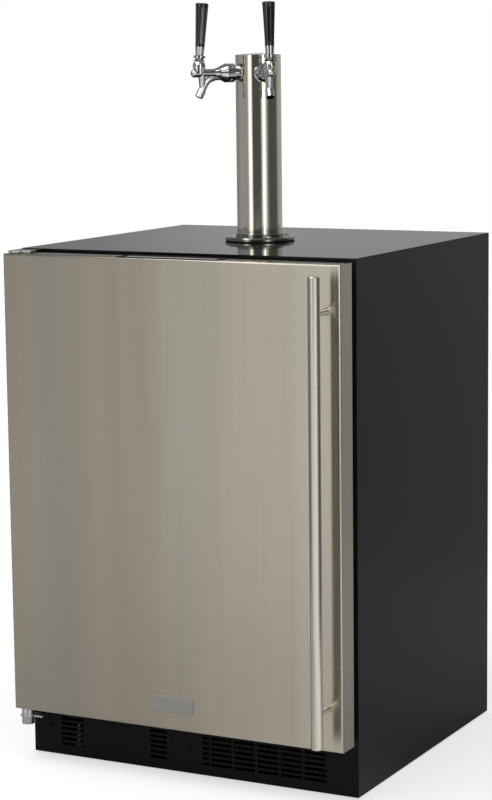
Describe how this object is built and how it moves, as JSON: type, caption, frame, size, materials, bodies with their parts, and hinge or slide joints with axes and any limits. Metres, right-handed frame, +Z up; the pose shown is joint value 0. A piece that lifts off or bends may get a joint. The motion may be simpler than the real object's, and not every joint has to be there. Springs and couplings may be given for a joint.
{
  "type": "built-in beer dispenser",
  "caption": "Undercounter beer dispenser: black insulated cabinet with a brushed steel door on a side hinge, a bar handle, a louvred toe grille and a chrome tower with lever taps.",
  "frame": {"origin": "centre of the footprint's bounding box, on the floor", "axes": "+Z is up, the door and the taps face -Y, +X is to the right seen from the front"},
  "size_m": [0.606, 0.6575, 1.2561],
  "materials": {
    "black_panel": "satin black paint on sheet steel",
    "zinc_sheet": "galvanised sheet steel",
    "foam": "rigid cream polyurethane foam",
    "liner": "white moulded liner plastic",
    "black_plastic": "matt black moulded plastic",
    "hardware": "zinc-plated steel",
    "stainless": "warm brushed stainless steel",
    "bar_steel": "finely brushed stainless steel",
    "rubber": "soft black rubber",
    "insert_grey": "light grey moulded plastic",
    "badge": "plain dark plate",
    "nylon": "natural nylon",
    "chrome": "polished chrome",
    "grip_black": "glossy black moulded plastic",
    "tube_steel": "drawn stainless tube",
    "coil": "aluminium fins on tubes",
    "shell_black": "black painted pressed steel",
    "copper": "bare copper pipe"
  },
  "bodies": {
    "cabinet": {"left_side_panel": "black_panel", "right_side_panel": "black_panel", "top_panel": "black_panel", "rear_panel": "black_panel", "base_pan": "zinc_sheet", "foam_insulation": "foam", "inner_liner": "liner", "face_frame": "black_plastic", "toe_grille": "black_plastic", "cabinet_screws": "hardware", "top_hinge_bracket": "hardware", "bottom_hinge_bracket": "hardware", "hinge_pins": "hardware", "tower_seal": "rubber", "tower_flange": "chrome", "tower_column": "chrome", "tower_cap": "chrome", "shanks": "chrome", "shank_nuts": "hardware", "coupling_nuts": "chrome", "left_faucet_body": "chrome", "right_faucet_body": "chrome", "bonnets": "chrome", "beer_tubes": "tube_steel", "tube_bulkhead": "liner", "evaporator_cover": "liner", "evaporator_coil": "coil", "evaporator_fan_motor": "black_plastic", "thermostat_housing": "liner", "compressor": "shell_black", "compressor_mounts": "rubber", "condenser_coil": "coil", "condenser_fan_motor": "black_plastic", "refrigerant_pipes": "copper", "cord_inlet": "black_plastic", "gas_line_sleeve": "liner"},
    "door": {"door_skin": "stainless", "door_foam": "foam", "door_inner_panel": "liner", "door_gasket": "rubber", "door_top_insert": "insert_grey", "badge_plate": "badge", "handle_bar": "bar_steel", "handle_standoffs": "bar_steel", "hinge_bushings": "nylon"},
    "left_tap": {"left_lever": "chrome", "left_ferrule": "chrome", "left_tap_handle": "grip_black"},
    "right_tap": {"right_lever": "chrome", "right_ferrule": "chrome", "right_tap_handle": "grip_black"},
    "left_valve": {"left_plunger": "tube_steel"},
    "right_valve": {"right_plunger": "tube_steel"},
    "cold_fan": {"evaporator_fan_blade": "black_plastic"},
    "hot_fan": {"condenser_fan_blade": "black_plastic"},
    "dial": {"thermostat_dial": "black_plastic"},
    "foot_front_left": {"front_left_foot": "hardware"},
    "foot_front_right": {"front_right_foot": "hardware"},
    "foot_rear_left": {"rear_left_foot": "hardware"},
    "foot_rear_right": {"rear_right_foot": "hardware"}
  },
  "joints": [
    {"name": "door_hinge", "type": "hinge", "parent": "cabinet", "child": "door", "pos_m": [-0.291, -0.25825, 0.4735], "axis": [0, 0, -1], "range_deg": [0, 115]},
    {"name": "left_lever_pull", "type": "hinge", "parent": "cabinet", "child": "left_tap", "pos_m": [-0.06581, -0.03751, 1.1535], "axis": [0.7934, -0.6088, 0], "range_deg": [0, 30]},
    {"name": "left_valve_slide", "type": "slide", "parent": "cabinet", "child": "left_valve", "axis": [0.6088, 0.7934, 0], "range_m": [0, 0.0072]},
    {"name": "right_lever_pull", "type": "hinge", "parent": "cabinet", "child": "right_tap", "pos_m": [0.06581, -0.03751, 1.1535], "axis": [0.7934, 0.6088, 0], "range_deg": [0, 30]},
    {"name": "right_valve_slide", "type": "slide", "parent": "cabinet", "child": "right_valve", "axis": [-0.6088, 0.7934, 0], "range_m": [0, 0.0072]},
    {"name": "front_left_foot_height", "type": "slide", "parent": "cabinet", "child": "foot_front_left", "axis": [0, 0, -1], "range_m": [0, 0.019]},
    {"name": "front_right_foot_height", "type": "slide", "parent": "cabinet", "child": "foot_front_right", "axis": [0, 0, -1], "range_m": [0, 0.019]},
    {"name": "rear_left_foot_height", "type": "slide", "parent": "cabinet", "child": "foot_rear_left", "axis": [0, 0, -1], "range_m": [0, 0.019]},
    {"name": "rear_right_foot_height", "type": "slide", "parent": "cabinet", "child": "foot_rear_right", "axis": [0, 0, -1], "range_m": [0, 0.019]},
    {"name": "evaporator_fan_spin", "type": "hinge", "parent": "cabinet", "child": "cold_fan", "pos_m": [0.128, 0.252, 0.712], "axis": [0, 1, 0], "continuous": true},
    {"name": "condenser_fan_spin", "type": "hinge", "parent": "cabinet", "child": "hot_fan", "pos_m": [0.13, -0.148, 0.049], "axis": [0, 1, 0], "continuous": true},
    {"name": "thermostat_turn", "type": "hinge", "parent": "cabinet", "child": "dial", "pos_m": [0.179, -0.18025, 0.792], "axis": [0, -1, 0], "range_deg": [0, 270]}
  ],
  "couplings": [
    {"joint": "left_valve_slide", "follows": "left_lever_pull", "m_per_rad": 0.013313},
    {"joint": "right_valve_slide", "follows": "right_lever_pull", "m_per_rad": 0.013313}
  ]
}
